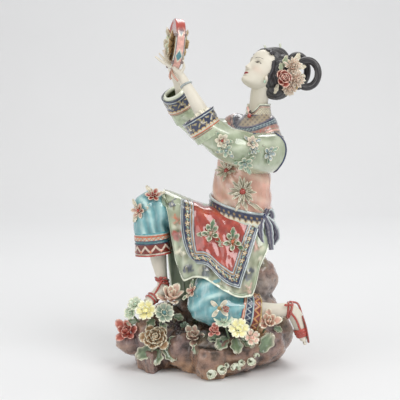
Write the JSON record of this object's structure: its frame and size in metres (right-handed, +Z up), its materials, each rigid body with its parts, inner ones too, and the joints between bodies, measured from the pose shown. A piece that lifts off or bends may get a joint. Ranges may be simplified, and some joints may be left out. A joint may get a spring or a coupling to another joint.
{
  "type": "porcelain figurine",
  "caption": "Glazed porcelain figurine of a lady in embroidered robes, kneeling on a flowered rock and raising a hand drum.",
  "frame": {"origin": "a point of the flat underside, below the middle of the rock's footprint", "axes": "+Z up, +X to the right of the front view, +Y away from the front view; she faces between -X and -Y"},
  "size_m": [0.187, 0.1078, 0.3179],
  "materials": {
    "lady_figurine": "glossy painted porcelain glaze"
  },
  "bodies": {
    "root": {"lady_figurine": "lady_figurine"}
  },
  "joints": []
}
